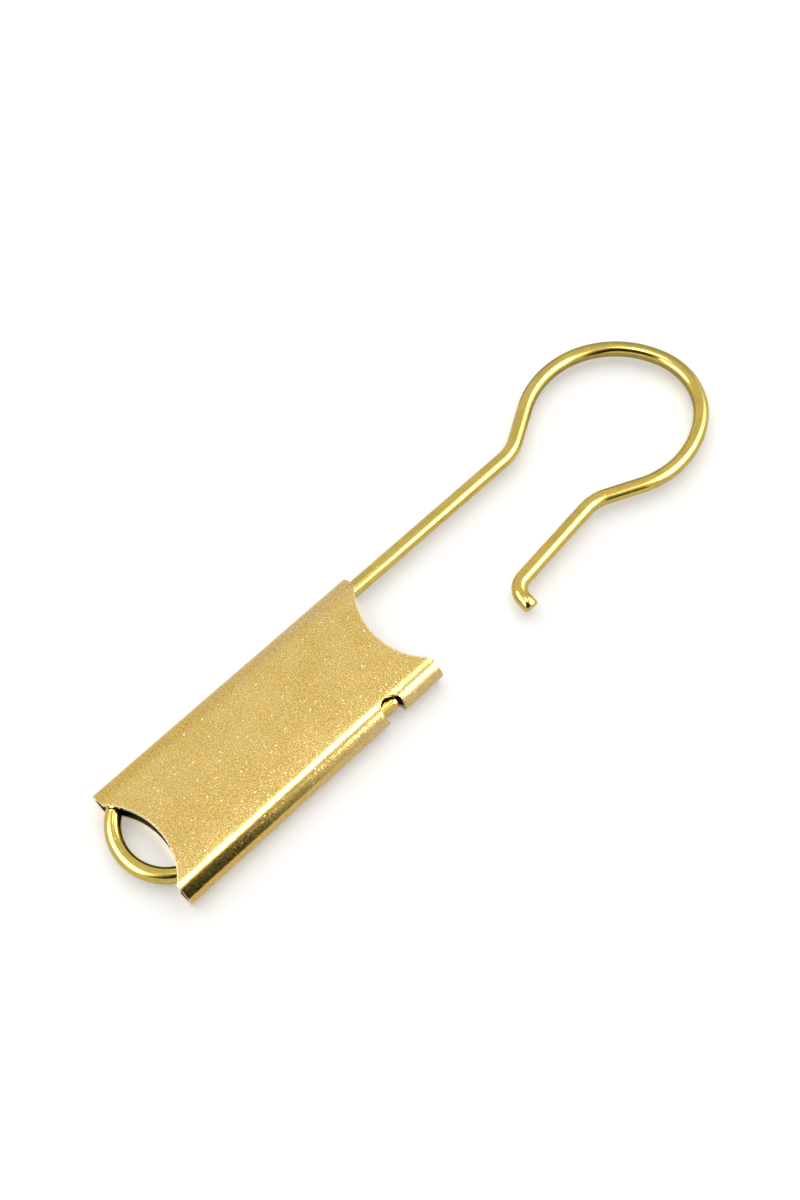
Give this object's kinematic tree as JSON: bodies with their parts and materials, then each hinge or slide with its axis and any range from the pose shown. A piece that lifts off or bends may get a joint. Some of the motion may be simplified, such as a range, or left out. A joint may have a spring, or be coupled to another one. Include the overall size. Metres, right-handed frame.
{
  "type": "toggle keyring",
  "caption": "Wire hook for a belt loop or bag ring with an eye for keys; a flat sleeve slides up the wire, covers the hook's mouth and latches its tip in a notch.",
  "frame": {"origin": "centre of the sleeve's flat underside, with the sleeve pulled back to the eye", "axes": "+Y along the sleeve towards the hook, +X across it towards the notched side and the hook's free tip, +Z out of the flat face"},
  "size_m": [0.0234, 0.0979, 0.0038],
  "materials": {
    "wire_brass": "drawn wire, polished by handling, with long soft highlights",
    "sleeve_brass": "unlacquered, worn satin, finely scratched in all directions, darker where it rounds the side"
  },
  "bodies": {
    "hook": {"hook_wire": "wire_brass"},
    "sleeve": {"sleeve": "sleeve_brass"}
  },
  "joints": [
    {"name": "sleeve_slide", "type": "slide", "parent": "hook", "child": "sleeve", "axis": [0, 1, 0], "range_m": [0, 0.0219], "deforming": ["hook_wire"]}
  ]
}
